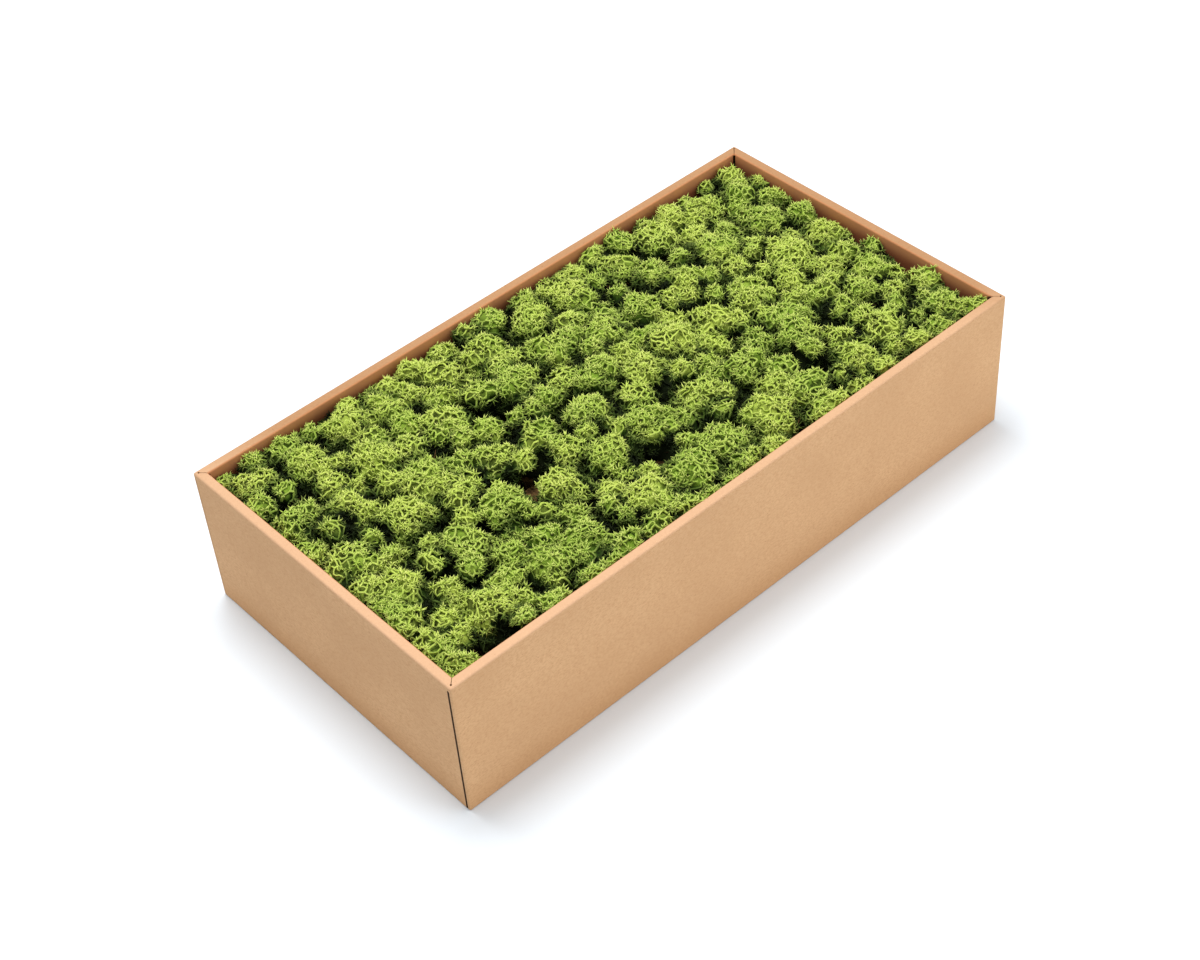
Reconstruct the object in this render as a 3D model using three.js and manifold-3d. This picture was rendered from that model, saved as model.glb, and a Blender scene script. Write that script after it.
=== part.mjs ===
// Preserved reindeer moss packed in a kraft cardboard tray.
// Millimetres, +Z up. The origin is the middle of the tray's underside, X runs along its length.

import * as THREE from 'three';
import { mergeVertices } from 'three/addons/utils/BufferGeometryUtils.js';
import Module from 'manifold-3d';

// Tray, outside sizes
const TRAY_LENGTH = 500;
const TRAY_WIDTH = 265;
const TRAY_HEIGHT = 115;

// Corrugated board and its folds
const BOARD = 1.5;
const RIM_WIDTH = 7.3;
const RIM_FOLD_RADIUS = 1.4;
const BASE_FOLD_RADIUS = 1;
const CORNER_FOLD_RADIUS = 1.4;
const INNER_CORNER_RADIUS = 0.3;
const FOLD_STEPS = 4;

// Corners of the tray: the long walls' tabs tuck in behind the short walls.
// Slits are as wide as given, and the one at -X -Y stands open.
const TAB_LENGTH = 30;
const TAB_DEPTH = 2;
const TAB_CLEARANCE = 3;
const CORNER_POST = 2.2;
const OPEN_SLIT = 1.1;
const CLOSED_SLIT = 0.5;
const SLIT_TOP = 3.2;
const MITRE_CUT = 0.45;
const MITRE_HOLE = 1.3;
const INNER_SLOT = 1.2;
const SLOT_FOOT = 6;

// How far a cut reaches past the board, into the hollow of the wall or out of the tray
const CUT_OVERLAP = 0.1;
const CUT_OVERRUN = 1;

// Moss clumps: where each crown stands, how wide it is and how far its top is above the rim
const CLUMPS = [
  [-224, 102, 46, -2],
  [-188, 94, 52, 1],
  [-149, 106, 42, 0],
  [-112, 98, 46, -2],
  [-72, 97, 48, -3],
  [-30, 93, 52, 1],
  [14, 100, 52, 1],
  [54, 92, 44, 0],
  [94, 101, 42, -2],
  [137, 103, 48, -1],
  [180, 102, 46, -3],
  [224, 100, 46, -4],
  [-228, 54, 46, -1],
  [-197, 36, 46, 3],
  [-161, 62, 46, 3],
  [-142, 24, 50, 5],
  [-102, 57, 48, 1],
  [-41, 43, 56, 5],
  [-2, 60, 46, 4],
  [39, 44, 44, 2],
  [75, 52, 42, -2],
  [113, 49, 52, 4],
  [158, 64, 50, 0],
  [211, 57, 50, -2],
  [-225, -3, 48, 0],
  [-180, 1, 46, 4],
  [-104, 14, 46, -1],
  [-67, 3, 44, 3],
  [7, 20, 48, 5],
  [-28, -8, 44, 2],
  [30, -12, 42, 4],
  [64, 5, 44, 5],
  [100, -1, 46, 2],
  [137, 5, 48, 3],
  [180, 10, 50, 1],
  [223, 14, 46, -1],
  [-208, -48, 50, 3],
  [-167, -38, 48, 6],
  [-128, -33, 48, 4],
  [-86, -44, 48, 3],
  [-46, -47, 44, 1],
  [-3, -49, 48, 3],
  [42, -46, 46, 2],
  [82, -44, 44, 1],
  [122, -48, 50, 4],
  [168, -36, 50, 3],
  [216, -36, 50, -1],
  [-228, -92, 46, -3],
  [-184, -94, 50, 2],
  [-140, -86, 48, 2],
  [-100, -97, 50, 3],
  [-58, -93, 48, 3],
  [-19, -104, 44, 2],
  [17, -94, 46, 2],
  [55, -93, 46, 1],
  [93, -97, 46, 2],
  [132, -99, 46, 1],
  [174, -89, 50, 2],
  [221, -92, 50, -1],
];

// How clumps are pressed against each other and against the walls, in millimetres
const CLUMP_CLEARANCE = 0.35;
const CLUMP_PRESS = 3;
const WALL_PRESS = 12;

// Depth of a clump's heart below its crown, and of the crown below the tips, in millimetres
const HEART_DEPTH = 28;
const CROWN_SINK = 5;

// Lobes: the main head's radius as a share of the crown's, then how far out the others are and
// how big, as shares of the room they have, and how much lower they are, in millimetres
const MAIN_HEAD = 0.6;
const LOBE_COUNT = 6;
const LOBE_REACH = [0.52, 0.64];
const LOBE_RADIUS = [0.42, 0.58];
const LOBE_DROP = [-2, 5];

// The pillow of stalks between the lobes: its spread as a share of the room, its rise in millimetres
const PILLOW_SPREAD = 1.4;
const PILLOW_RISE = 24;

// Rings of points on the crown: degrees from straight up, how far outside the crown they are counted
// in millimetres, and how far a point strays in radians and as a share of its step
const CROWN_RINGS = [16, 32, 47, 62];
const RING_DEPTH = 3;
const RING_WANDER = 0.1;
const SIDE_WANDER = 0.4;
const FEWEST_POINTS = 5;

// The foot on the tray's floor, as a share of the room
const FOOT_SPREAD = 0.8;
const FOOT_SIDES = 6;

// Antler tips on the crown: length and spacing in millimetres, the others as shares
const TIP_LENGTH = [3.5, 7.5];
const TIP_SPACING = 9;
const FORK_SHARE = 0.1;
const FORK_RISE = 0.45;
const TIP_WANDER = 0.7;
const SEED = 7;

// Corners closer than this are one, and a direction that leans less towards a fence never meets it
const SAME_POINT = 1e-4;
const LEVEL_ENOUGH = 1e-6;

const KRAFT = new THREE.MeshStandardMaterial({ color: 0xcfa579, roughness: 0.9, metalness: 0 });
const MOSS = new THREE.MeshStandardMaterial({ color: 0x8fa94a, roughness: 0.95, metalness: 0 });

const wasm = await Module();
wasm.setup();

// Turns a closed three.js geometry into a solid that can be cut and joined
function toSolid(geometry) {
  const bare = geometry.clone();
  bare.deleteAttribute('normal');
  bare.deleteAttribute('uv');
  const merged = mergeVertices(bare, SAME_POINT);
  return new wasm.Manifold(new wasm.Mesh({
    numProp: 3,
    vertProperties: new Float32Array(merged.attributes.position.array),
    triVerts: new Uint32Array(merged.index.array),
  }));
}

function toGeometry(solid) {
  const mesh = solid.getMesh();
  return makeGeometry(Array.from(mesh.vertProperties), Array.from(mesh.triVerts));
}

function makeGeometry(positions, indices) {
  const geometry = new THREE.BufferGeometry();
  geometry.setAttribute('position', new THREE.Float32BufferAttribute(positions, 3));
  geometry.setIndex(indices);
  geometry.computeVertexNormals();
  return geometry;
}

// A box between two corners
function boxBetween(low, high) {
  const size = new THREE.Vector3().subVectors(high, low);
  const middle = new THREE.Vector3().addVectors(low, high).multiplyScalar(0.5);
  return new THREE.BoxGeometry(size.x, size.y, size.z).translate(middle.x, middle.y, middle.z);
}

// One turn round the tray, at a distance inside its outer faces
function trayLoop(inset, z) {
  const radius = Math.max(CORNER_FOLD_RADIUS - inset, INNER_CORNER_RADIUS);
  const alongX = TRAY_LENGTH / 2 - inset - radius;
  const alongY = TRAY_WIDTH / 2 - inset - radius;
  const loop = [];
  for (let corner = 0; corner < 4; corner += 1) {
    const signX = corner === 0 || corner === 3 ? 1 : -1;
    const signY = corner < 2 ? 1 : -1;
    for (let step = 0; step <= FOLD_STEPS; step += 1) {
      const angle = (corner + step / FOLD_STEPS) * Math.PI / 2;
      loop.push([
        signX * alongX + radius * Math.cos(angle),
        signY * alongY + radius * Math.sin(angle),
        z,
      ]);
    }
  }
  return loop;
}

// A quarter fold between two straight stretches of the wall's profile
function foldArc(centreInset, centreZ, radius, startAngle, endAngle) {
  const arc = [];
  for (let step = 0; step <= FOLD_STEPS; step += 1) {
    const angle = THREE.MathUtils.lerp(startAngle, endAngle, step / FOLD_STEPS);
    arc.push([centreInset - radius * Math.cos(angle), centreZ + radius * Math.sin(angle)]);
  }
  return arc;
}

// Skins a profile of [inset, z] pairs round the tray, closed on itself or with flat ends
function skinProfile(profile, closed) {
  const loops = profile.map(([inset, z]) => trayLoop(inset, z));
  const count = loops[0].length;
  const positions = loops.flat(2);
  const indices = [];
  const bands = closed ? loops.length : loops.length - 1;
  for (let band = 0; band < bands; band += 1) {
    const here = band * count;
    const next = ((band + 1) % loops.length) * count;
    for (let i = 0; i < count; i += 1) {
      const j = (i + 1) % count;
      indices.push(here + i, here + j, next + j, here + i, next + j, next + i);
    }
  }
  if (!closed) {
    const first = positions.length / 3;
    positions.push(0, 0, profile[0][1], 0, 0, profile[profile.length - 1][1]);
    const lastLoop = (loops.length - 1) * count;
    for (let i = 0; i < count; i += 1) {
      const j = (i + 1) % count;
      indices.push(first, j, i, first + 1, lastLoop + i, lastLoop + j);
    }
  }
  return makeGeometry(positions, indices);
}

// Base, four double walls and flat rims in one folded sheet
function traySkin() {
  const quarter = Math.PI / 2;
  const top = TRAY_HEIGHT - RIM_FOLD_RADIUS;
  const profile = [
    ...foldArc(BASE_FOLD_RADIUS, BASE_FOLD_RADIUS, BASE_FOLD_RADIUS, -quarter, 0),
    ...foldArc(RIM_FOLD_RADIUS, top, RIM_FOLD_RADIUS, 0, quarter),
    ...foldArc(RIM_WIDTH - RIM_FOLD_RADIUS, top, RIM_FOLD_RADIUS, quarter, 2 * quarter),
    [RIM_WIDTH, BOARD],
  ];
  return skinProfile(profile, false);
}

// The space between the outer and the inner leaf of the walls
function wallHollow() {
  return skinProfile([
    [BOARD, BOARD],
    [BOARD, TRAY_HEIGHT - BOARD],
    [RIM_WIDTH - BOARD, TRAY_HEIGHT - BOARD],
    [RIM_WIDTH - BOARD, BOARD],
  ], true);
}

// What the fold pattern leaves open at one corner, and the tab behind the short wall.
// All of it is given as distances inward from that corner's outer faces.
function cornerPieces(signX, signY) {
  const place = (insetX, insetY, z) => new THREE.Vector3(
    signX * (TRAY_LENGTH / 2 - insetX),
    signY * (TRAY_WIDTH / 2 - insetY),
    z,
  );
  const insetBox = (x, y, z) => {
    const box = new THREE.Box3().setFromPoints([place(x[0], y[0], z[0]), place(x[1], y[1], z[1])]);
    return toSolid(boxBetween(box.min, box.max));
  };
  const slit = signX < 0 && signY < 0 ? OPEN_SLIT : CLOSED_SLIT;
  const innerLeaf = RIM_WIDTH - BOARD;

  const slitCut = insetBox(
    [-CUT_OVERRUN, BOARD + CUT_OVERLAP],
    [CORNER_POST, CORNER_POST + slit],
    [BASE_FOLD_RADIUS / 2, TRAY_HEIGHT - SLIT_TOP],
  );
  const slotCut = insetBox(
    [innerLeaf - CUT_OVERLAP, RIM_WIDTH + INNER_SLOT],
    [innerLeaf - CUT_OVERLAP, RIM_WIDTH + INNER_SLOT],
    [SLOT_FOOT, TRAY_HEIGHT - BOARD],
  );
  const holeCut = insetBox(
    [CORNER_POST, CORNER_POST + MITRE_HOLE],
    [CORNER_POST, CORNER_POST + MITRE_HOLE],
    [TRAY_HEIGHT - BOARD - CUT_OVERLAP, TRAY_HEIGHT + CUT_OVERRUN],
  );

  const mitreLength = (RIM_WIDTH - CORNER_POST) * Math.SQRT2;
  const mitreMiddle = place((RIM_WIDTH + CORNER_POST) / 2, (RIM_WIDTH + CORNER_POST) / 2, TRAY_HEIGHT);
  const mitre = new THREE.BoxGeometry(mitreLength, MITRE_CUT, 2 * (BOARD + CUT_OVERLAP));
  mitre.rotateZ(signX * signY * Math.PI / 4);
  mitre.translate(mitreMiddle.x, mitreMiddle.y, mitreMiddle.z);

  const tab = insetBox(
    [TAB_DEPTH, TAB_DEPTH + BOARD],
    [BOARD / 2, TAB_LENGTH],
    [BOARD + TAB_CLEARANCE, TRAY_HEIGHT - BOARD - TAB_CLEARANCE],
  );
  return { cuts: [slitCut, slotCut, holeCut, toSolid(mitre)], tab };
}

function kraftTray() {
  let tray = toSolid(traySkin()).subtract(toSolid(wallHollow()));
  for (const signX of [-1, 1]) {
    for (const signY of [-1, 1]) {
      const corner = cornerPieces(signX, signY);
      for (const cut of corner.cuts) tray = tray.subtract(cut);
      tray = tray.add(corner.tab);
    }
  }
  return toGeometry(tray);
}

// Seeded random numbers, the same on every run
function seededRandom(seed) {
  let state = seed >>> 0;
  return () => {
    state = (state + 0x6d2b79f5) >>> 0;
    let mixed = Math.imul(state ^ (state >>> 15), state | 1);
    mixed ^= mixed + Math.imul(mixed ^ (mixed >>> 7), mixed | 61);
    return ((mixed ^ (mixed >>> 14)) >>> 0) / 4294967296;
  };
}

function between(random, [low, high]) {
  return low + (high - low) * random();
}

// The upright planes that keep a clump clear of its neighbours and of the tray's walls.
// Each is a unit normal in plan and its distance from the clump's middle.
function clumpFences(index) {
  const [x, y, width] = CLUMPS[index];
  const fences = [];
  CLUMPS.forEach(([otherX, otherY, otherWidth], other) => {
    if (other === index) return;
    const apart = Math.hypot(otherX - x, otherY - y);
    const weight = (width * width - otherWidth * otherWidth) / 4;
    fences.push({
      normal: new THREE.Vector3((otherX - x) / apart, (otherY - y) / apart, 0),
      distance: (apart + weight / apart) / 2 - CLUMP_CLEARANCE,
      press: CLUMP_PRESS,
    });
  });
  const wallX = TRAY_LENGTH / 2 - RIM_WIDTH - CLUMP_CLEARANCE;
  const wallY = TRAY_WIDTH / 2 - RIM_WIDTH - CLUMP_CLEARANCE;
  for (const side of [-1, 1]) {
    const press = WALL_PRESS;
    fences.push({ normal: new THREE.Vector3(side, 0, 0), distance: wallX - side * x, press });
    fences.push({ normal: new THREE.Vector3(0, side, 0), distance: wallY - side * y, press });
  }
  return fences;
}

// Balls that swell out of the crown: one main head and a ring of smaller lobes out to the fences
function clumpLobes(random, radius, fences) {
  const mainRadius = radius * MAIN_HEAD;
  const lobes = [{ centre: new THREE.Vector3(0, 0, -mainRadius), radius: mainRadius }];
  const turn = random() * Math.PI * 2;
  for (let lobe = 0; lobe < LOBE_COUNT; lobe += 1) {
    const angle = turn + (lobe + 0.5 * random()) / LOBE_COUNT * Math.PI * 2;
    const outward = new THREE.Vector3(Math.cos(angle), Math.sin(angle), 0);
    const room = fenceReach(outward, fences, true);
    const lobeRadius = room * between(random, LOBE_RADIUS);
    const centre = outward.multiplyScalar(room * between(random, LOBE_REACH));
    centre.z = -lobeRadius - between(random, LOBE_DROP);
    lobes.push({ centre, radius: lobeRadius });
  }
  return lobes;
}

// How far a ray from the heart of the clump runs before it leaves a ball, or 0 if it misses it
function ballReach(ball, heart, direction) {
  const toCentre = new THREE.Vector3().subVectors(ball.centre, heart);
  const along = toCentre.dot(direction);
  const square = along * along - toCentre.lengthSq() + ball.radius * ball.radius;
  return square > 0 ? Math.max(0, along + Math.sqrt(square)) : 0;
}

// How far a direction runs from the clump's middle before it meets a fence, or before it would
// stop if the clump swelled past its fences as much as it is pressed against them
function fenceReach(direction, fences, pressed = false) {
  let reach = Infinity;
  for (const { normal, distance, press } of fences) {
    const towards = normal.dot(direction);
    if (towards > LEVEL_ENOUGH) reach = Math.min(reach, (distance + (pressed ? press : 0)) / towards);
  }
  return reach;
}

// Where the crown's surface lies along a direction from the heart of the clump: on the outermost
// lobe, or on the pillow of stalks between the lobes, which is pressed out past the fences
function crownReach(direction, { heart, lobes, fences }) {
  const level = Math.hypot(direction.x, direction.y);
  const spread = level > 0 ? fenceReach(direction, fences, true) * level * PILLOW_SPREAD : 1;
  const pillow = 1 / Math.hypot(level / spread, direction.z / PILLOW_RISE);
  return Math.max(pillow, ...lobes.map((ball) => ballReach(ball, heart, direction)));
}

// A direction so far from straight up, and so far round from +X
function directionAt(polar, azimuth) {
  return new THREE.Vector3(
    Math.sin(polar) * Math.cos(azimuth),
    Math.sin(polar) * Math.sin(azimuth),
    Math.cos(polar),
  );
}

// Rings of directions from near the top of the crown to its edge, then of points round the foot
function clumpRings(random, { radius, fences, heartHeight }) {
  const rings = CROWN_RINGS.map((degrees, ring) => {
    const angle = THREE.MathUtils.degToRad(degrees);
    const around = 2 * Math.PI * (radius + RING_DEPTH) * Math.sin(angle);
    const count = Math.max(FEWEST_POINTS, Math.round(around / TIP_SPACING));
    const turn = ring % 2 / 2;
    const directions = Array.from({ length: count }, (_, i) => directionAt(
      angle + RING_WANDER * (random() - 0.5),
      (turn + i + SIDE_WANDER * (random() - 0.5)) / count * 2 * Math.PI,
    ));
    return { directions, turn, count };
  });
  const foot = Array.from({ length: FOOT_SIDES }, (_, i) => {
    const outward = directionAt(Math.PI / 2, i / FOOT_SIDES * 2 * Math.PI);
    return outward.multiplyScalar(fenceReach(outward, fences) * FOOT_SPREAD).setZ(-heartHeight);
  });
  rings.push({ points: foot, turn: 0, count: FOOT_SIDES });
  return rings;
}

// Triangles that fill the band between two neighbouring rings of points
function stitchRings(upper, lower, upperFirst, lowerFirst) {
  const triangles = [];
  let i = 0;
  let j = 0;
  while (i < upper.count || j < lower.count) {
    const upperNext = (upper.turn + i + 0.5) / upper.count;
    const lowerNext = (lower.turn + j + 0.5) / lower.count;
    const here = upperFirst + i % upper.count;
    const below = lowerFirst + j % lower.count;
    if (i < upper.count && (j === lower.count || upperNext <= lowerNext)) {
      triangles.push([here, below, upperFirst + (i + 1) % upper.count]);
      i += 1;
    } else {
      triangles.push([here, below, lowerFirst + (j + 1) % lower.count]);
      j += 1;
    }
  }
  return triangles;
}

// A clump as one closed surface seen from its heart: lobed crown, antler tips, stalks and foot.
// Every point lies on its own ray from the heart, so the surface never crosses itself.
function mossClump(index) {
  const [x, y, width, rise] = CLUMPS[index];
  const random = seededRandom(SEED * 1000 + index);
  const radius = width / 2;
  const fences = clumpFences(index);
  const top = TRAY_HEIGHT + rise - CROWN_SINK;
  const heartHeight = top - HEART_DEPTH - BOARD - CLUMP_CLEARANCE;
  const heart = new THREE.Vector3(0, 0, -HEART_DEPTH);
  const lobes = clumpLobes(random, radius, fences);

  const points = [];
  const addPoint = (direction, reach) => {
    points.push({ direction, reach: Math.min(reach, fenceReach(direction, fences)) });
    return points.length - 1;
  };
  const addCrownPoint = (direction) => (
    addPoint(direction, crownReach(direction, { heart, lobes, fences }))
  );
  // A point raised from between three others
  const addRaised = (corners, lift, shares) => {
    const direction = new THREE.Vector3();
    corners.forEach((corner, i) => direction.addScaledVector(points[corner].direction, shares[i]));
    const reach = (points[corners[0]].reach + points[corners[1]].reach + points[corners[2]].reach) / 3;
    return addPoint(direction.normalize(), reach + lift);
  };

  const pole = addCrownPoint(new THREE.Vector3(0, 0, 1));
  const rings = clumpRings(random, { radius, fences, heartHeight });
  const firsts = rings.map((ring) => {
    const first = points.length;
    if (ring.points) ring.points.forEach((point) => addPoint(point.clone().normalize(), point.length()));
    else ring.directions.forEach(addCrownPoint);
    return first;
  });

  const crown = [];
  for (let i = 0; i < rings[0].count; i += 1) {
    crown.push([pole, firsts[0] + i, firsts[0] + (i + 1) % rings[0].count]);
  }
  const bands = rings.slice(1).map((ring, i) => stitchRings(rings[i], ring, firsts[i], firsts[i + 1]));
  const stalks = bands.pop();
  crown.push(...bands.flat());

  const footFirst = firsts[firsts.length - 1];
  const faces = [...stalks];
  for (let i = 2; i < FOOT_SIDES; i += 1) faces.push([footFirst, footFirst + i, footFirst + i - 1]);

  for (const [a, b, c] of crown) {
    const length = between(random, TIP_LENGTH);
    const shares = [1, 1, 1].map(() => 1 + TIP_WANDER * (random() - 0.5));
    if (random() < FORK_SHARE) {
      const fork = addRaised([a, b, c], length * FORK_RISE, shares);
      faces.push([c, a, fork]);
      for (const [from, to] of [[a, b], [b, c]]) {
        const tip = addRaised([from, to, fork], length, [1, 1, 1]);
        faces.push([from, to, tip], [to, fork, tip], [fork, from, tip]);
      }
    } else {
      const tip = addRaised([a, b, c], length, shares);
      faces.push([a, b, tip], [b, c, tip], [c, a, tip]);
    }
  }

  const positions = points.flatMap(({ direction, reach }) => (
    heart.clone().addScaledVector(direction, reach).toArray()
  ));
  const mesh = new THREE.Mesh(makeGeometry(positions, faces.flat()), MOSS);
  mesh.name = `moss_clump_${String(index + 1).padStart(2, '0')}`;
  mesh.position.set(x, y, top);
  return mesh;
}

const mossTray = new THREE.Group();
const tray = new THREE.Mesh(kraftTray(), KRAFT);
tray.name = 'kraft_tray';
mossTray.add(tray);
CLUMPS.forEach((_, index) => mossTray.add(mossClump(index)));

export default mossTray;
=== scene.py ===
"""Preserved reindeer moss in a kraft cardboard tray: the looks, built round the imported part.

Metres, +Z up. The origin is the middle of the tray's underside and X runs along its length.
"""

import math
import random

import bmesh
import bpy
from mathutils import Matrix, Vector


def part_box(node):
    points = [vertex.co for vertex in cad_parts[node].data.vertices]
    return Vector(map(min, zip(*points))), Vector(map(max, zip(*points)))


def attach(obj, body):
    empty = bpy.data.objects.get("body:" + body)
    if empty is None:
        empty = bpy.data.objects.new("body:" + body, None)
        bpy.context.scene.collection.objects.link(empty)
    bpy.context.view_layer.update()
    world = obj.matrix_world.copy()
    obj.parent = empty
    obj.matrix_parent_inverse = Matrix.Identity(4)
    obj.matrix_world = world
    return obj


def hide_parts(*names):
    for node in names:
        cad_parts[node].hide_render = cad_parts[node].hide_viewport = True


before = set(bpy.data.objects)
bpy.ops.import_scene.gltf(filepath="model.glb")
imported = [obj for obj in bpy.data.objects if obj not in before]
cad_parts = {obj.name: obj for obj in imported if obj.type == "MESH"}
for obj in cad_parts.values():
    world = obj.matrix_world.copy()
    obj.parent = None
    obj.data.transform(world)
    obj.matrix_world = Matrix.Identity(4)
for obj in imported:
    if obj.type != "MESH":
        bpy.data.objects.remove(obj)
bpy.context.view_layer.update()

MM = 0.001

# The tray, from the frame
tray_low, tray_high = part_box("kraft_tray")
RIM_TOP = tray_high.z
RIM_WIDTH = 7.3 * MM

# Kraft paper: the blotches, fibres and flecks in it, the height of the painted shade at its foot, how thick
# it looks where it is folded, and how deep the painted shade on its inner faces goes
CLOUD_WIDTH = 60 * MM
FIBRE_WIDTH = 2.2 * MM
FLECK_WIDTH = 0.9 * MM
FOOT_SHADE_HEIGHT = 30 * MM
PAPER_SKIN = 0.5 * MM
FOLD_DEPTH = 1.6 * MM
SHADE_DEPTH = 14 * MM

# Painted shade in the slit at the near corner, inwards from the long wall's face, and in the opening at the
# right corner
SLIT_BAND = (1.5 * MM, 3.9 * MM)
SLIT_TOP = 3 * MM
SLIT_CORNER = 375 * MM
OPENING_DEPTH = 4 * MM
OPENING_RADIUS = 4.2 * MM

# The heart of a clump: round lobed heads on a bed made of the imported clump's own crown
CROWN_CUT = 26 * MM
CROWN_OVERLAP = 1 * MM
SAME_POINT = 0.01 * MM
CROWN_VOXEL = 3.0 * MM
CROWN_SMOOTHING = 4
BED_DEPTH = 11 * MM
HEAD_KINDS = 8
HEAD_CORE = 0.86
HEAD_LOBES = 11
LOBE_SPAN = 1.25
LOBE_SWAY = 0.35
LOBE_SHARE = (0.32, 0.44)
LOBE_SINK = 0.75
HEAD_TILT = 0.5
HEAD_WARP = 2.2 * MM
WARP_WIDTH = 15 * MM
HEART_VOXEL = 2.1 * MM
HEART_SMOOTHING = 1
HEART_KEPT = 0.185

# Radii of heads, from the clumps' own main heads to the small ones that fill the gaps
HEAD_SIZES = [
    (15.5 * MM, 20.5 * MM),
    (11 * MM, 15 * MM),
    (7 * MM, 10 * MM),
]
HEAD_THROWS = 3000
HEAD_SHIFT = 4 * MM
HEAD_DROP = (0.0, 7 * MM)
TIP_ROOM = 3.5 * MM

# How far apart heads sit, in shares of their radii: from each other, from the walls and from hollows
APART_IN_CLUMP = 0.73
APART_FROM_OTHERS = 0.87
APART_FROM_WALL = 0.7
APART_FROM_HOLLOW = 0.8
HOLLOW_CORE = 0.55

# Near a wall the moss comes nearly up to the rim, and what would stand through the wall is pressed back
WALL_REACH = 26 * MM
WALL_DROP = (3 * MM, 8 * MM)
WALL_GAP = 0.15 * MM
PRESS_DEPTH = 4 * MM
PRESS_HEIGHT = 1 * MM

# Hollows between the heads, down to the stalks: where each is, how wide, and how deep they go
HOLLOWS = [
    (-168 * MM, -14 * MM, 17 * MM),
    (-92 * MM, -34 * MM, 21 * MM),
    (-117 * MM, -16 * MM, 17 * MM),
    (-62 * MM, 42 * MM, 11 * MM),
    (103 * MM, 17 * MM, 11 * MM),
    (63 * MM, 16 * MM, 10 * MM),
    (130 * MM, 82 * MM, 13 * MM),
    (87 * MM, 77 * MM, 11 * MM),
    (53 * MM, -81 * MM, 12 * MM),
    (-20 * MM, -64 * MM, 14 * MM),
    (-200 * MM, -114 * MM, 16 * MM),
    (27 * MM, -34 * MM, 11 * MM),
    (117 * MM, -87 * MM, 11 * MM),
    (-183 * MM, -81 * MM, 11 * MM),
    (-205 * MM, 70 * MM, 11 * MM),
    (-43 * MM, 97 * MM, 11 * MM),
    (150 * MM, 54 * MM, 11 * MM),
    (190 * MM, -64 * MM, 12 * MM),
    (205 * MM, -28 * MM, 11 * MM),
    (235 * MM, -46 * MM, 12 * MM),
    (23 * MM, -67 * MM, 10 * MM),
    (77 * MM, -41 * MM, 10 * MM),
    (65 * MM, -117 * MM, 11 * MM),
]
HOLLOW_DEPTH = 13 * MM

# Strands: a loose net of branches lying on the heart, down to a depth below the rim
NET_DEPTH = (15 * MM, 24 * MM)
NET_HEIGHT = 1.6 * MM
NET_SCATTER = 1.1 * MM
NET_GAPS = 0.16
STRAND_STEP = 1.5 * MM
STRAND_WANDER = 1.3 * MM
WANDER_WIDTH = 4.5 * MM
NOISE_SWING = 0.25
STRAND_RADIUS = 0.82 * MM
STRAND_SIDES = 3

# Sprigs: stars of short pointed tips on the net's joints
SPRIG_KINDS = 14
SPRIG_SHARE = 0.52
SPRIG_TIPS = (4, 4, 5)
TIP_LENGTH = (2.8 * MM, 4.8 * MM)
TIP_RADIUS = 0.84 * MM
TIP_SPREAD = (math.radians(25), math.radians(75))
TIP_SWAY = 0.4
SPRIG_TILT = math.radians(18)
SPRIG_SCALE = (0.8, 1.2)
SPRIG_SINK = 0.2 * MM

# How far a spot stands out of its surroundings, on which its painted light and shade depend
CREST_BLUR = 6
CREST_HEIGHT = 3.2 * MM
DOME_SHARE = 0.7

# Tones of the moss: its patches, the painted shade in its small gaps and open patches, and the depths at
# which it turns brown and dark, partly painted shade
PATCH_WIDTH = 46 * MM
GAP_WIDTH = 4.2 * MM
OPEN_WIDTH = 22 * MM
BROWN_AND_SHADE_DEPTH = (12 * MM, 26 * MM)
STREAK_WIDTH = 3 * MM

# Dead stalks low in the hollows
STRAW_KINDS = 5
STRAW_SPACING = 8 * MM
STRAW_LENGTH = (8 * MM, 14 * MM)
STRAW_RADIUS = 0.45 * MM
STRAW_JOINTS = 3
STRAW_BEND = (10, 35)
STRAW_FORK = math.radians(50)
STRAW_LEAN = math.radians(50)
STRAW_DEPTH = (16 * MM, 32 * MM)
STRAW_FADE = 5 * MM
STRAW_DENSITY = 100000.0
STRAW_SINK = 1.3 * MM
STRAW_SCALE = (0.8, 1.2)

MOSS_SEED = 11
GOLDEN_ANGLE = math.pi * (3 - math.sqrt(5))


def add_node(tree, kind, inputs=None, **settings):
    """A node with its settings, and with each named or numbered input set or linked."""
    node = tree.nodes.new(kind)
    for name, value in settings.items():
        setattr(node, name, value)
    for key, value in (inputs or {}).items():
        if isinstance(value, bpy.types.NodeSocket):
            tree.links.new(value, node.inputs[key])
        else:
            node.inputs[key].default_value = value
    return node


def sum_of(tree, operation, *values, clamp=False):
    """The result of a Math node on one to three values or sockets."""
    node = add_node(tree, "ShaderNodeMath", dict(enumerate(values)), operation=operation)
    node.use_clamp = clamp
    return node.outputs[0]


def eased(tree, value, low, high):
    """0 below low, 1 above high and a smooth step between them."""
    node = add_node(tree, "ShaderNodeMapRange", {
        "Value": value, "From Min": low, "From Max": high, "To Min": 0.0, "To Max": 1.0,
    }, interpolation_type="SMOOTHSTEP")
    return node.outputs["Result"]


def mixed(tree, factor, first, second):
    """Two colours mixed by a factor."""
    node = add_node(tree, "ShaderNodeMix", data_type="RGBA")
    for key, value in ((0, factor), (6, first), (7, second)):
        if isinstance(value, bpy.types.NodeSocket):
            tree.links.new(value, node.inputs[key])
        else:
            node.inputs[key].default_value = value
    return node.outputs[2]


def colour(red, green, blue):
    """A colour given as it looks on screen, 0 to 255, as the shader's linear values."""
    linear = []
    for channel in (red, green, blue):
        share = channel / 255
        linear.append(share / 12.92 if share <= 0.04045 else ((share + 0.055) / 1.055) ** 2.4)
    return (*linear, 1.0)


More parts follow.
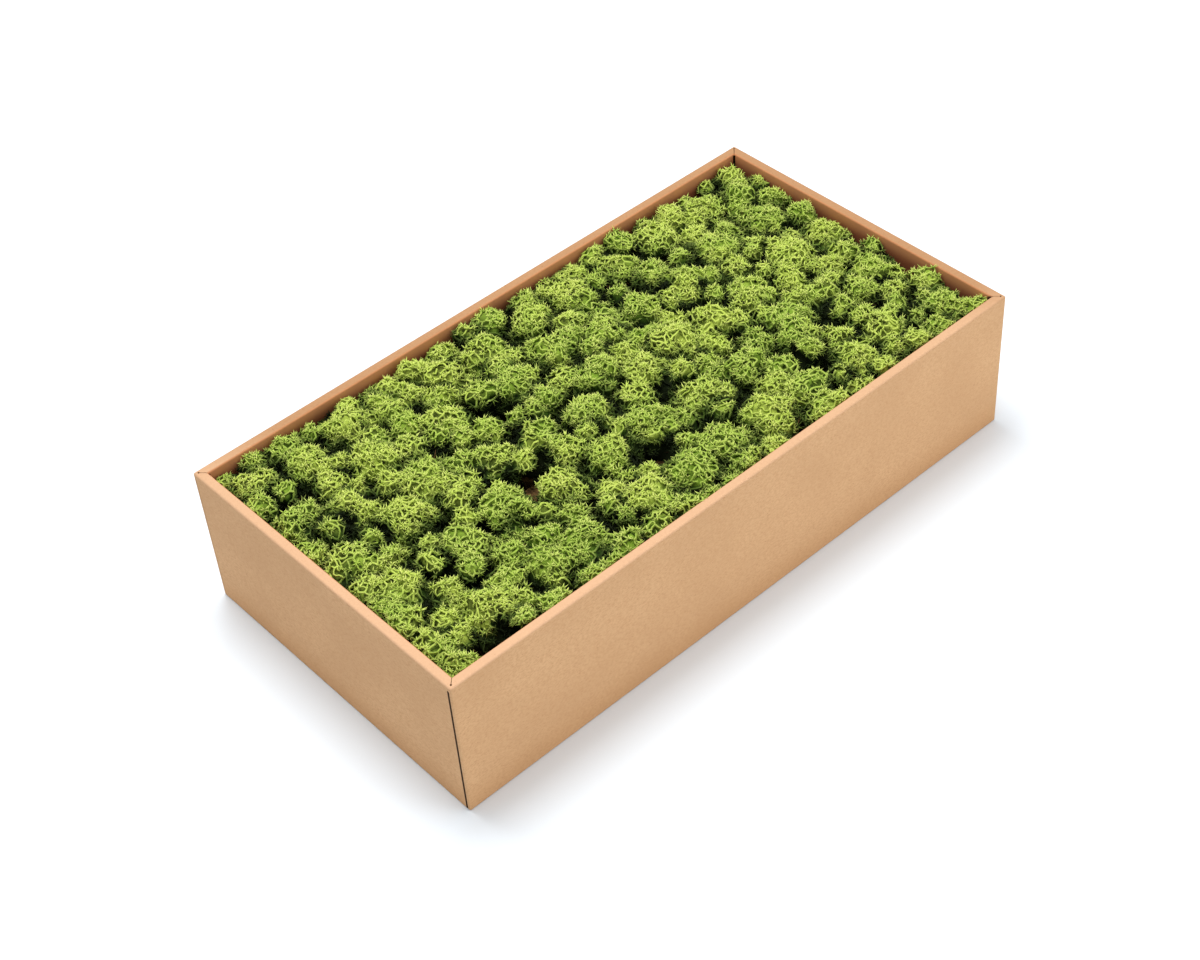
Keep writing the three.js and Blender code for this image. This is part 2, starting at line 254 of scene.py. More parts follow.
def new_material(name):
    """An empty material with its shader and output, and the object's own coordinates."""
    material = bpy.data.materials.new(name)
    material.use_nodes = True
    tree = material.node_tree
    tree.nodes.clear()
    shader = add_node(tree, "ShaderNodeBsdfPrincipled")
    add_node(tree, "ShaderNodeOutputMaterial", {"Surface": shader.outputs[0]})
    place = add_node(tree, "ShaderNodeTexCoord").outputs["Object"]
    return material, tree, shader, place


def noise(tree, place, width, detail=2.0, roughness=0.5, stretch=(1.0, 1.0, 1.0)):
    """Soft noise whose blotches are about a width across."""
    scaled = add_node(tree, "ShaderNodeVectorMath", {0: place, 1: stretch}, operation="MULTIPLY")
    node = add_node(tree, "ShaderNodeTexNoise", {
        "Vector": scaled.outputs[0], "Scale": 1 / width, "Detail": detail, "Roughness": roughness,
    })
    return node.outputs["Fac"]


def inset_from(tree, side, along):
    """How far inside the tray's outer faces a spot is, on one axis."""
    return sum_of(tree, "SUBTRACT", side, sum_of(tree, "ABSOLUTE", along))


def band(tree, value, low, high, soft):
    """1 between two values, with soft ends, and 0 outside them."""
    rising = eased(tree, value, low, low + soft)
    return sum_of(tree, "MULTIPLY", rising, eased(tree, value, high, high - soft))


def distance_to(tree, place, point):
    """How far a spot is from a point."""
    gap = add_node(tree, "ShaderNodeVectorMath", {0: place, 1: point}, operation="DISTANCE")
    return gap.outputs["Value"]


def kraft_paper(tree, place, height):
    """The paper's own brown: soft blotches, fibres and flecks, and painted shade of warm bounce light, darker
    and more orange, at its foot. Also the fibres' relief.
    """
    clouds = noise(tree, place, CLOUD_WIDTH, detail=3.0)
    fibres = noise(tree, place, FIBRE_WIDTH, detail=3.0, roughness=0.6, stretch=(1.0, 1.0, 2.2))
    flecks = noise(tree, place, FLECK_WIDTH, detail=1.0, stretch=(0.6, 0.6, 2.0))
    paper = mixed(tree, eased(tree, clouds, 0.3, 0.7), colour(206, 163, 120), colour(215, 172, 128))
    paper = mixed(tree, eased(tree, fibres, 0.35, 0.75), paper, colour(198, 152, 108))
    paper = mixed(tree, eased(tree, flecks, 0.66, 0.8), paper, colour(176, 128, 86))
    # Painted shade: the foot of the walls darker and more orange, as warm light bounced from the floor makes
    # it look
    foot_shade = eased(tree, height, FOOT_SHADE_HEIGHT, 0.0)
    paper = mixed(tree, sum_of(tree, "MULTIPLY", foot_shade, 0.3), paper, colour(200, 148, 98))
    return paper, fibres


def on_rim_and_inside(tree, paper, place, split, inset, depth):
    """The paper on the rim, with painted light paler near the near corner and painted shade darker on the far
    rims, and painted shade browner and darker down the inner faces.
    """
    # Painted light and shade on the rim: paler near the near corner, fading with distance, and darker towards
    # the far rims
    from_near = distance_to(tree, place, (tray_low.x, tray_low.y, RIM_TOP))
    along_near = eased(tree, from_near, 0.0, 380 * MM)
    near_rim_light = mixed(tree, along_near, colour(204, 164, 132), colour(194, 156, 124))
    away = sum_of(tree, "MULTIPLY_ADD", split["Y"], 1.8, split["X"])
    rim_light_and_shade = mixed(tree, eased(tree, away, -40 * MM, 60 * MM), near_rim_light, colour(152, 110, 76))
    on_rim = eased(tree, depth, FOLD_DEPTH, 0.2 * MM)
    paper = mixed(tree, sum_of(tree, "MULTIPLY", on_rim, 0.7), paper, rim_light_and_shade)
    # Painted shade on the inner faces: browner, and darker the deeper they go
    inner_face = eased(tree, inset, RIM_WIDTH - 1.2 * MM, RIM_WIDTH - 0.2 * MM)
    inner_depth_shade = eased(tree, depth, 1 * MM, SHADE_DEPTH)
    inner_shade_tone = mixed(tree, inner_depth_shade, colour(196, 134, 92), colour(146, 84, 52))
    return mixed(tree, inner_face, paper, inner_shade_tone)


def painted_gap_shade(tree, place, split, inset, inset_y, depth):
    """Painted shade: 1 where no light comes, inside the double walls, in the near slit and in the right
    corner's opening.
    """
    between = band(tree, inset, PAPER_SKIN, RIM_WIDTH - PAPER_SKIN, 0.3 * MM)
    wall_hollow_shade = sum_of(tree, "MULTIPLY", between, eased(tree, depth, FOLD_DEPTH, FOLD_DEPTH + 0.4 * MM))
    outward = sum_of(tree, "ADD", split["X"], split["Y"])
    near_corner = eased(tree, outward, 5 * MM - SLIT_CORNER, -SLIT_CORNER)
    slit = sum_of(tree, "MULTIPLY", band(tree, inset_y, *SLIT_BAND, 0.5 * MM), near_corner)
    slit = sum_of(tree, "MULTIPLY", slit, eased(tree, depth, SLIT_TOP, SLIT_TOP + 1 * MM))
    right_corner = (tray_high.x - RIM_WIDTH, tray_low.y + RIM_WIDTH, RIM_TOP - OPENING_DEPTH)
    opening = eased(
        tree, distance_to(tree, place, right_corner), OPENING_RADIUS, OPENING_RADIUS - 1.2 * MM,
    )
    return sum_of(tree, "MAXIMUM", wall_hollow_shade, sum_of(tree, "MAXIMUM", slit, opening))


def kraft_material():
    """Brown kraft paper on corrugated board, with painted light and shade on its rim, painted shade at its
    foot and on its inner faces, and painted shade in its slits and gaps.
    """
    material, tree, shader, place = new_material("kraft board")
    split = add_node(tree, "ShaderNodeSeparateXYZ", {0: place}).outputs
    inset_x = inset_from(tree, tray_high.x, split["X"])
    inset_y = inset_from(tree, tray_high.y, split["Y"])
    inset = sum_of(tree, "MINIMUM", inset_x, inset_y)
    depth = sum_of(tree, "SUBTRACT", RIM_TOP, split["Z"])
    paper, fibres = kraft_paper(tree, place, split["Z"])
    paper = on_rim_and_inside(tree, paper, place, split, inset, depth)
    gap_shade_mask = painted_gap_shade(tree, place, split, inset, inset_y, depth)
    # Painted shade: near black where no light comes, between the double walls, in the near slit and in the
    # right corner's opening
    paper = mixed(tree, sum_of(tree, "MULTIPLY", gap_shade_mask, 0.92), paper, colour(44, 26, 16))
    tree.links.new(paper, shader.inputs["Base Color"])

    bump = add_node(tree, "ShaderNodeBump", {
        "Height": fibres, "Strength": 0.2, "Distance": 0.1 * MM,
    })
    tree.links.new(bump.outputs[0], shader.inputs["Normal"])
    shader.inputs["Roughness"].default_value = 0.85
    shader.inputs["Specular IOR Level"].default_value = 0.2
    return material


def moss_tone(tree, place):
    """The moss's tone: random patches of yellow-green, painted shade near black in creases, painted light on
    the heads' tops, and brown deep down, darkened by painted shade. Also its crest.
    """
    crest = add_node(tree, "ShaderNodeAttribute", attribute_name="crest").outputs["Fac"]
    patches = noise(tree, place, PATCH_WIDTH, detail=2.0)
    patches = eased(tree, patches, 0.36, 0.64)
    lit_top_tint = mixed(tree, patches, colour(124, 154, 50), colour(168, 186, 76))
    # Painted light and shade: near black where the surface sinks below its surroundings, yellow-green where
    # it stands out
    tint = mixed(tree, eased(tree, crest, 0.15, 0.6), colour(18, 26, 6), colour(56, 84, 22))
    tint = mixed(tree, eased(tree, crest, 0.45, 0.92), tint, lit_top_tint)
    height = add_node(tree, "ShaderNodeSeparateXYZ", {0: place}).outputs["Z"]
    # Deep down: the stalks' own brown, with painted shade making it near black
    depth = eased(tree, height, RIM_TOP - BROWN_AND_SHADE_DEPTH[0], RIM_TOP - BROWN_AND_SHADE_DEPTH[1])
    return mixed(tree, sum_of(tree, "MULTIPLY", depth, 0.8), tint, colour(26, 22, 10)), crest


def moss_material():
    """The colour of the strands: paler towards their tips, and paler on the crests, where it is painted
    light.
    """
    material, tree, shader, place = new_material("moss strands")
    tint, crest = moss_tone(tree, place)
    reach = add_node(tree, "ShaderNodeAttribute", attribute_name="reach").outputs["Fac"]
    shade = add_node(tree, "ShaderNodeAttribute", attribute_name="shade").outputs["Fac"]
    pale = mixed(tree, shade, colour(194, 216, 100), colour(226, 234, 132))
    # Paler tips, their own colour, shown only where the surface stands out: painted light on the crests
    tip_paleness_and_light = sum_of(tree, "MULTIPLY", eased(tree, reach, 0.2, 1.0), eased(tree, crest, 0.2, 0.95))
    tint = mixed(tree, tip_paleness_and_light, tint, pale)
    tree.links.new(tint, shader.inputs["Base Color"])
    shader.inputs["Roughness"].default_value = 0.8
    shader.inputs["Specular IOR Level"].default_value = 0.12
    return material


def heart_material():
    """The dense tangle under the strands, with painted shade in its small gaps and in open patches."""
    material, tree, shader, place = new_material("moss heart")
    tint, _ = moss_tone(tree, place)
    cells = add_node(tree, "ShaderNodeTexVoronoi", {
        "Vector": place, "Scale": 1 / GAP_WIDTH,
    }).outputs["Distance"]
    gaps = eased(tree, cells, 0.45, 0.2)
    openness = eased(tree, noise(tree, place, OPEN_WIDTH, detail=1.0), 0.42, 0.62)
    shadow = sum_of(tree, "MAXIMUM", gaps, sum_of(tree, "MULTIPLY", openness, 0.75))
    # Painted shade: near black in the small gaps and the open patches, and a little darker all over
    tint = mixed(tree, sum_of(tree, "MULTIPLY_ADD", shadow, 0.8, 0.1), tint, colour(18, 26, 7))
    tree.links.new(tint, shader.inputs["Base Color"])
    bump = add_node(tree, "ShaderNodeBump", {
        "Height": cells, "Strength": 0.6, "Distance": 0.8 * MM,
    })
    tree.links.new(bump.outputs[0], shader.inputs["Normal"])
    shader.inputs["Roughness"].default_value = 0.9
    shader.inputs["Specular IOR Level"].default_value = 0.1
    return material


def stalk_material():
    """Dead brown stalks, streaked along their length."""
    material, tree, shader, place = new_material("dead stalks")
    streaks = noise(tree, place, STREAK_WIDTH, detail=2.0, stretch=(1.0, 1.0, 0.25))
    tint = mixed(tree, eased(tree, streaks, 0.35, 0.65), colour(58, 42, 24), colour(104, 78, 46))
    tree.links.new(tint, shader.inputs["Base Color"])
    shader.inputs["Roughness"].default_value = 0.9
    shader.inputs["Specular IOR Level"].default_value = 0.1
    return material


def floor_material():
    """Plain pale paper, a little cool against the tray's warm light."""
    material, _, shader, _ = new_material("floor")
    shader.inputs["Base Color"].default_value = (0.79, 0.85, 0.905, 1.0)
    shader.inputs["Roughness"].default_value = 0.9
    return material


def ring_round(mesh, centre, along, radius):
    """A ring of vertices round a strand's axis."""
    side = along.orthogonal().normalized()
    other = along.cross(side).normalized()
    ring = []
    for step in range(STRAND_SIDES):
        angle = 2 * math.pi * step / STRAND_SIDES
        offset = side * math.cos(angle) + other * math.sin(angle)
        ring.append(mesh.verts.new(centre + offset * radius))
    return ring


def strand(mesh, reach_layer, points, radii, reaches):
    """A closed three-sided strand through the points, which ends in a point if its last radius is 0."""
    rings = []
    for i, point in enumerate(points):
        before = points[max(i - 1, 0)]
        after = points[min(i + 1, len(points) - 1)]
        along = (after - before).normalized()
        if radii[i] > 0:
            ring = ring_round(mesh, point, along, radii[i])
        else:
            ring = [mesh.verts.new(point)]
        for vert in ring:
            vert[reach_layer] = reaches[i]
        rings.append(ring)
    mesh.faces.new(reversed(rings[0]))
    for lower, upper in zip(rings, rings[1:]):
        for i in range(STRAND_SIDES):
            j = (i + 1) % STRAND_SIDES
            if len(upper) == 1:
                mesh.faces.new((lower[i], lower[j], upper[0]))
            else:
                twist = min(range(STRAND_SIDES), key=lambda k: (upper[k].co - lower[0].co).length)
                a, b = upper[(i + twist) % STRAND_SIDES], upper[(j + twist) % STRAND_SIDES]
                mesh.faces.new((lower[i], lower[j], b, a))
    if len(rings[-1]) > 1:
        mesh.faces.new(rings[-1])


def turned(direction, angle, spin):
    """A direction leaned away from itself by an angle, towards a side given by spin."""
    side = direction.orthogonal().normalized()
    side = Matrix.Rotation(spin, 3, direction) @ side
    return (direction * math.cos(angle) + side * math.sin(angle)).normalized()


def sprig(name, draw):
    """A star of pointed tips that spread from the origin round +Z. Their reach grows outwards."""
    mesh = bmesh.new()
    reach_layer = mesh.verts.layers.float.new("reach")
    tips = draw.choice(SPRIG_TIPS)
    turn = draw.uniform(0, 2 * math.pi)
    root = Vector((0, 0, -SPRIG_SINK))
    for i in range(tips):
        side = turn + 2 * math.pi * i / tips + draw.uniform(-TIP_SWAY, TIP_SWAY)
        away = turned(Vector((0, 0, 1)), draw.uniform(*TIP_SPREAD), side)
        end = root + away * draw.uniform(*TIP_LENGTH)
        strand(mesh, reach_layer, [root, end], (TIP_RADIUS, 0.0), (0.25, 1.0))
    return finished_mesh(mesh, name)


def lobed_head(name, draw):
    """A ball with smaller balls sunk into its upper side, like a floret, one unit in radius."""
    mesh = bmesh.new()
    bmesh.ops.create_icosphere(mesh, subdivisions=3, radius=HEAD_CORE)
    turn = draw.uniform(0, 2 * math.pi)
    for lobe in range(HEAD_LOBES):
        height = 1.0 - LOBE_SPAN * (lobe + 0.5) / HEAD_LOBES
        angle = turn + lobe * GOLDEN_ANGLE + draw.uniform(-LOBE_SWAY, LOBE_SWAY)
        level = math.sqrt(max(0.0, 1.0 - height * height))
        seat = Vector((level * math.cos(angle), level * math.sin(angle), height))
        radius = draw.uniform(*LOBE_SHARE)
        place = Matrix.Translation(seat * (1.0 - radius * LOBE_SINK))
        bmesh.ops.create_icosphere(mesh, subdivisions=2, radius=radius, matrix=place)
    return finished_mesh(mesh, name)


def straw(name, draw):
    """One dead stalk: long, thin and bent, with a short side branch."""
    mesh = bmesh.new()
    reach_layer = mesh.verts.layers.float.new("reach")
    length = draw.uniform(*STRAW_LENGTH)
    points = [Vector((0, 0, -STRAW_SINK))]
    along = Vector((0, 0, 1))
    for _ in range(STRAW_JOINTS):
        along = turned(along, math.radians(draw.uniform(*STRAW_BEND)), draw.uniform(0, 2 * math.pi))
        points.append(points[-1] + along * length / STRAW_JOINTS)
    radii = [STRAW_RADIUS, STRAW_RADIUS, STRAW_RADIUS * 0.8, 0.0]
    strand(mesh, reach_layer, points, radii, [0.0, 0.3, 0.6, 1.0])
    side = turned(along, STRAW_FORK, draw.uniform(0, 2 * math.pi))
    strand(
        mesh, reach_layer, [points[1], points[1] + side * length * 0.3],
        [STRAW_RADIUS * 0.8, 0.0], [0.3, 0.6],
    )
    return finished_mesh(mesh, name)


def finished_mesh(mesh, name):
    """A bmesh turned into a smooth-shaded mesh with its faces outwards."""
    bmesh.ops.recalc_face_normals(mesh, faces=mesh.faces)
    for face in mesh.faces:
        face.smooth = True
    data = bpy.data.meshes.new(name)
    mesh.to_mesh(data)
    mesh.free()
    return data


def kinds_of(name, count, make, draw, material):
    """A collection of seeded variants, kept out of the scene."""
    collection = bpy.data.collections.new(name)
    for i in range(count):
        label = f"{name}_{i + 1:02d}"
        data = make(label, draw)
        data.materials.append(material)
        collection.objects.link(bpy.data.objects.new(label, data))
    return collection


def tree_input(tree, name, kind, default=None):
    """A named input of a geometry tree."""
    socket = tree.interface.new_socket(name=name, in_out="INPUT", socket_type=kind)
    if default is not None:
        socket.default_value = default


def wandering(tree, width, reach):
    """A soft shift of places, whose swings are about a width across and mostly stay within a reach."""
    place = add_node(tree, "GeometryNodeInputPosition").outputs[0]
    ripple = add_node(tree, "ShaderNodeTexNoise", {
        "Vector": place, "Scale": 1 / width, "Detail": 0.0,
    }).outputs["Color"]
    middle = (0.5, 0.5, 0.5)
    centred = add_node(tree, "ShaderNodeVectorMath", {0: ripple, 1: middle}, operation="SUBTRACT")
    return add_node(tree, "ShaderNodeVectorMath", {
        0: centred.outputs[0], "Scale": sum_of(tree, "MULTIPLY", reach, 1 / NOISE_SWING),
    }, operation="SCALE").outputs[0]


def nearest_ball(tree, balls, place):
    """The middle and the width of the ball nearest to a place, from an object of single points."""
    source = add_node(tree, "GeometryNodeObjectInfo", {"Object": balls}).outputs["Geometry"]
    index = add_node(tree, "GeometryNodeSampleNearest", {
        "Geometry": source, "Sample Position": place,
    }).outputs["Index"]
    position = add_node(tree, "GeometryNodeInputPosition").outputs[0]
    centre = add_node(tree, "GeometryNodeSampleIndex", {
        "Geometry": source, "Value": position, "Index": index,
    }, data_type="FLOAT_VECTOR").outputs[0]
    width = add_node(tree, "GeometryNodeSampleIndex", {
        "Geometry": source, "Value": kept(tree, "width"), "Index": index,
    }, data_type="FLOAT").outputs[0]
    return centre, width


def random_size(tree, scale, seed):
    """A random number between the ends of a range."""
    return add_node(tree, "FunctionNodeRandomValue", {
        2: scale[0], 3: scale[1], "Seed": sum_of(tree, "ADD", seed, 1.0),
    }, data_type="FLOAT").outputs[1]


def of_kinds(tree, points, kinds, seed, rotation, scale):
    """Random kinds from a collection set on points, each with its own random shade."""
    chosen = add_node(tree, "GeometryNodeCollectionInfo", {
        "Collection": kinds, "Separate Children": True, "Reset Children": True,
    })
    pick = add_node(tree, "FunctionNodeRandomValue", {
        4: 0, 5: 1000, "Seed": sum_of(tree, "ADD", seed, 2.0),
    }, data_type="INT")
    placed = add_node(tree, "GeometryNodeInstanceOnPoints", {
        "Points": points, "Instance": chosen.outputs[0], "Pick Instance": True,
        "Instance Index": pick.outputs[2], "Rotation": rotation, "Scale": scale,
    })
    return shaded(tree, placed.outputs[0], seed, "INSTANCE")


def shaded(tree, geometry, seed, domain):
    """Gives each element of a domain a random shade."""
    shade = add_node(tree, "FunctionNodeRandomValue", {
        2: 0.0, 3: 1.0, "Seed": sum_of(tree, "ADD", seed, 3.0),
    }, data_type="FLOAT")
    return stored(tree, geometry, "shade", shade.outputs[1], domain)


def stored(tree, geometry, name, value, domain="POINT"):
    """Keeps a number on a geometry under a name that the materials read."""
    return add_node(tree, "GeometryNodeStoreNamedAttribute", {
        "Geometry": geometry, "Name": name, "Value": value,
    }, data_type="FLOAT", domain=domain).outputs[0]


def kept(tree, name):
    """A number that a geometry carries under a name."""
    node = add_node(tree, "GeometryNodeInputNamedAttribute", {"Name": name}, data_type="FLOAT")
    return node.outputs[0]


def leaning(tree, tilt, seed):
    """A random lean in any direction and a random turn about the axis."""
    lean = add_node(tree, "FunctionNodeRandomValue", {
        0: (-tilt, -tilt, 0.0), 1: (tilt, tilt, 2 * math.pi), "Seed": seed,
    }, data_type="FLOAT_VECTOR")
    return add_node(tree, "FunctionNodeEulerToRotation", {0: lean.outputs[0]}).outputs[0]


def new_tree(name):
    """An empty geometry tree that takes a geometry and gives one."""
    tree = bpy.data.node_groups.new(name, "GeometryNodeTree")
    tree.is_modifier = True
    tree.interface.new_socket(name="Geometry", in_out="INPUT", socket_type="NodeSocketGeometry")
    tree.interface.new_socket(name="Geometry", in_out="OUTPUT", socket_type="NodeSocketGeometry")
    return tree


def grow(draft, tree, values):
    """Adds a geometry tree to a draft, with its named inputs set by their sockets' identifiers."""
    modifier = draft.modifiers.new(tree.name, "NODES")
    modifier.node_group = tree
    for item in tree.interface.items_tree:
        if item.in_out == "INPUT" and item.name in values:
            modifier[item.identifier] = values[item.name]


def heart_tree():
    """Lowers a clump's crown to a bed, deeper in the hollows, and sets the clump's round heads on it."""
    tree = new_tree("moss heart")
    tree_input(tree, "Bed Depth", "NodeSocketFloat", BED_DEPTH)
    tree_input(tree, "Hollow Depth", "NodeSocketFloat", HOLLOW_DEPTH)
    tree_input(tree, "Head Warp", "NodeSocketFloat", HEAD_WARP)
    tree_input(tree, "Clump", "NodeSocketInt", 0)
    tree_input(tree, "Hollows", "NodeSocketObject")
    tree_input(tree, "Seats", "NodeSocketObject")
    tree_input(tree, "Heads", "NodeSocketCollection")
    tree_input(tree, "Seed", "NodeSocketInt", MOSS_SEED)
    given = add_node(tree, "NodeGroupInput").outputs
    place = add_node(tree, "GeometryNodeInputPosition").outputs[0]
    normal = add_node(tree, "GeometryNodeInputNormal").outputs[0]
    upward = add_node(tree, "ShaderNodeSeparateXYZ", {0: normal}).outputs["Z"]

    in_plan = add_node(tree, "ShaderNodeVectorMath", {0: place, 1: (1.0, 1.0, 0.0)}, operation="MULTIPLY")
    centre, width = nearest_ball(tree, given["Hollows"], in_plan.outputs[0])
    away = add_node(tree, "ShaderNodeVectorMath", {0: in_plan.outputs[0], 1: centre}, operation="DISTANCE")
    hollow = eased(tree, sum_of(tree, "DIVIDE", away.outputs["Value"], width), 1.05, 0.4)
    down = sum_of(tree, "MULTIPLY_ADD", hollow, given["Hollow Depth"], given["Bed Depth"])
    top = eased(tree, upward, 0.0, 0.6)
    offset = add_node(tree, "ShaderNodeCombineXYZ", {
        "Z": sum_of(tree, "MULTIPLY", sum_of(tree, "MULTIPLY", down, top), -1.0),
    })
    bed = add_node(tree, "GeometryNodeSetPosition", {
        "Geometry": given["Geometry"], "Offset": offset.outputs[0],
    }).outputs[0]

    seats = add_node(tree, "GeometryNodeObjectInfo", {"Object": given["Seats"]}).outputs["Geometry"]
    owner = kept(tree, "clump")
    own = add_node(tree, "GeometryNodeMeshToPoints", {
        "Mesh": seats, "Selection": sum_of(tree, "COMPARE", owner, given["Clump"], 0.5),
    }).outputs[0]
    lean = leaning(tree, HEAD_TILT, given["Seed"])
    heads = of_kinds(tree, own, given["Heads"], given["Seed"], lean, kept(tree, "width"))
    whole = add_node(tree, "GeometryNodeRealizeInstances", {0: heads})
    together = add_node(tree, "GeometryNodeJoinGeometry")
    tree.links.new(whole.outputs[0], together.inputs[0])
    tree.links.new(bed, together.inputs[0])
    warped = add_node(tree, "GeometryNodeSetPosition", {
        "Geometry": together.outputs[0], "Offset": wandering(tree, WARP_WIDTH, given["Head Warp"]),
    })
    add_node(tree, "NodeGroupOutput", {0: warped.outputs[0]})
    return tree


def tones_tree():
    """Keeps on the heart how far each spot stands out: on its head, and out of the bumps round it."""
    tree = new_tree("moss tones")
    tree_input(tree, "Crest Height", "NodeSocketFloat", CREST_HEIGHT)
    tree_input(tree, "Seats", "NodeSocketObject")
    given = add_node(tree, "NodeGroupInput").outputs
    place = add_node(tree, "GeometryNodeInputPosition").outputs[0]
    normal = add_node(tree, "GeometryNodeInputNormal").outputs[0]
    around = add_node(tree, "GeometryNodeBlurAttribute", {
        "Value": place, "Iterations": CREST_BLUR,
    }, data_type="FLOAT_VECTOR").outputs[0]
    out = add_node(tree, "ShaderNodeVectorMath", {0: place, 1: around}, operation="SUBTRACT")
    stands = add_node(tree, "ShaderNodeVectorMath", {0: out.outputs[0], 1: normal}, operation="DOT_PRODUCT")
    share = sum_of(tree, "DIVIDE", stands.outputs["Value"], given["Crest Height"])
    bumps = sum_of(tree, "ADD", share, 0.5, clamp=True)
    centre, width = nearest_ball(tree, given["Seats"], place)
    arm = add_node(tree, "ShaderNodeVectorMath", {0: place, 1: centre}, operation="SUBTRACT").outputs[0]
    rise = add_node(tree, "ShaderNodeSeparateXYZ", {0: arm}).outputs["Z"]
    dome = eased(tree, sum_of(tree, "DIVIDE", rise, width), 0.1, 0.95)
    of_dome = sum_of(tree, "MULTIPLY", dome, DOME_SHARE)
    crest = sum_of(tree, "MULTIPLY_ADD", bumps, 1 - DOME_SHARE, of_dome)
    toned = stored(tree, given["Geometry"], "crest", crest)
    add_node(tree, "NodeGroupOutput", {0: toned})
    return tree


def strands_tree():
    """Dresses a clump's heart with a net of strands and with sprigs, and its hollows with dead stalks."""
    tree = new_tree("moss strands")
    tree_input(tree, "Net Height", "NodeSocketFloat", NET_HEIGHT)
    tree_input(tree, "Net Gaps", "NodeSocketFloat", NET_GAPS)
    tree_input(tree, "Strand Radius", "NodeSocketFloat", STRAND_RADIUS)
    tree_input(tree, "Strand Wander", "NodeSocketFloat", STRAND_WANDER)
    tree_input(tree, "Strand Step", "NodeSocketFloat", STRAND_STEP)
    tree_input(tree, "Sprig Share", "NodeSocketFloat", SPRIG_SHARE)
    tree_input(tree, "Straw Spacing", "NodeSocketFloat", STRAW_SPACING)
    tree_input(tree, "Sprigs", "NodeSocketCollection")
    tree_input(tree, "Straws", "NodeSocketCollection")
    tree_input(tree, "Strand Material", "NodeSocketMaterial")
    tree_input(tree, "Stalk Material", "NodeSocketMaterial")
    tree_input(tree, "Seed", "NodeSocketInt", MOSS_SEED)
    given = add_node(tree, "NodeGroupInput").outputs
    place = add_node(tree, "GeometryNodeInputPosition").outputs[0]
    normal = add_node(tree, "GeometryNodeInputNormal").outputs[0]
    upward = add_node(tree, "ShaderNodeSeparateXYZ", {0: normal}).outputs["Z"]
    height = add_node(tree, "ShaderNodeSeparateXYZ", {0: place}).outputs["Z"]

    crest = kept(tree, "crest")
    heart = stored(tree, given["Geometry"], "crest", crest, "FACE")

    open_side = eased(tree, upward, -0.35, 0.05)
    high_up = eased(tree, height, RIM_TOP - NET_DEPTH[1], RIM_TOP - NET_DEPTH[0])
    seen = sum_of(tree, "MULTIPLY", open_side, high_up)
    seen = sum_of(tree, "MULTIPLY", seen, eased(tree, crest, 0.02, 0.12))
    skin = add_node(tree, "GeometryNodeSeparateGeometry", {
        "Geometry": heart, "Selection": sum_of(tree, "GREATER_THAN", seen, 0.5),
    }, domain="FACE").outputs[0]
    scatter = add_node(tree, "FunctionNodeRandomValue", {
        0: (-NET_SCATTER,) * 3, 1: (NET_SCATTER,) * 3, "Seed": given["Seed"],
    }, data_type="FLOAT_VECTOR").outputs[0]
    raised = add_node(tree, "ShaderNodeVectorMath", {
        0: normal, "Scale": given["Net Height"],
    }, operation="SCALE")
    shifted = add_node(tree, "ShaderNodeVectorMath", {0: raised.outputs[0], 1: scatter})
    skin = add_node(tree, "GeometryNodeSetPosition", {
        "Geometry": skin, "Offset": shifted.outputs[0],
    }).outputs[0]
    net = add_node(tree, "GeometryNodeDualMesh", {"Mesh": skin}).outputs[0]
    facing = add_node(tree, "GeometryNodeCaptureAttribute", {"Geometry": net}, domain="POINT")
    facing.capture_items.new("VECTOR", "out")
    tree.links.new(normal, facing.inputs["out"])
    net = facing.outputs["Geometry"]

    wander = wandering(tree, WANDER_WIDTH, given["Strand Wander"])
    dropped = add_node(tree, "FunctionNodeRandomValue", {
        6: given["Net Gaps"], "Seed": given["Seed"],
    }, data_type="BOOLEAN").outputs[3]
    threads = add_node(tree, "GeometryNodeDeleteGeometry", {
        "Geometry": net, "Selection": dropped,
    }, domain="EDGE", mode="EDGE_FACE").outputs[0]
    curves = add_node(tree, "GeometryNodeMeshToCurve", {0: threads}).outputs[0]
    curves = add_node(tree, "GeometryNodeResampleCurve", {
        "Curve": curves, "Length": given["Strand Step"],
    }, mode="LENGTH").outputs[0]
    curves = add_node(tree, "GeometryNodeSetPosition", {"Geometry": curves, "Offset": wander}).outputs[0]
    curves = shaded(tree, curves, given["Seed"], "CURVE")
    curves = stored(tree, curves, "reach", 0.5)
    profile = add_node(tree, "GeometryNodeCurvePrimitiveCircle", {
        "Resolution": STRAND_SIDES, "Radius": given["Strand Radius"],
    })
    strands = add_node(tree, "GeometryNodeCurveToMesh", {
        "Curve": curves, "Profile Curve": profile.outputs[0], "Fill Caps": True,
    }).outputs[0]

    budding = add_node(tree, "FunctionNodeRandomValue", {
        6: given["Sprig Share"], "Seed": sum_of(tree, "ADD", given["Seed"], 5.0),
    }, data_type="BOOLEAN").outputs[3]
    buds = add_node(tree, "GeometryNodeMeshToPoints", {"Mesh": net, "Selection": budding}).outputs[0]
    buds = add_node(tree, "GeometryNodeSetPosition", {"Geometry": buds, "Offset": wander}).outputs[0]
    outward = add_node(tree, "FunctionNodeAlignRotationToVector", {"Vector": facing.outputs["out"]}, axis="Z")
    turn = add_node(tree, "FunctionNodeRotateRotation", {
        0: outward.outputs[0], 1: leaning(tree, SPRIG_TILT, given["Seed"]),
    }, rotation_space="LOCAL")
    sprig_size = random_size(tree, SPRIG_SCALE, given["Seed"])
    sprigs = of_kinds(tree, buds, given["Sprigs"], given["Seed"], turn.outputs[0], sprig_size)

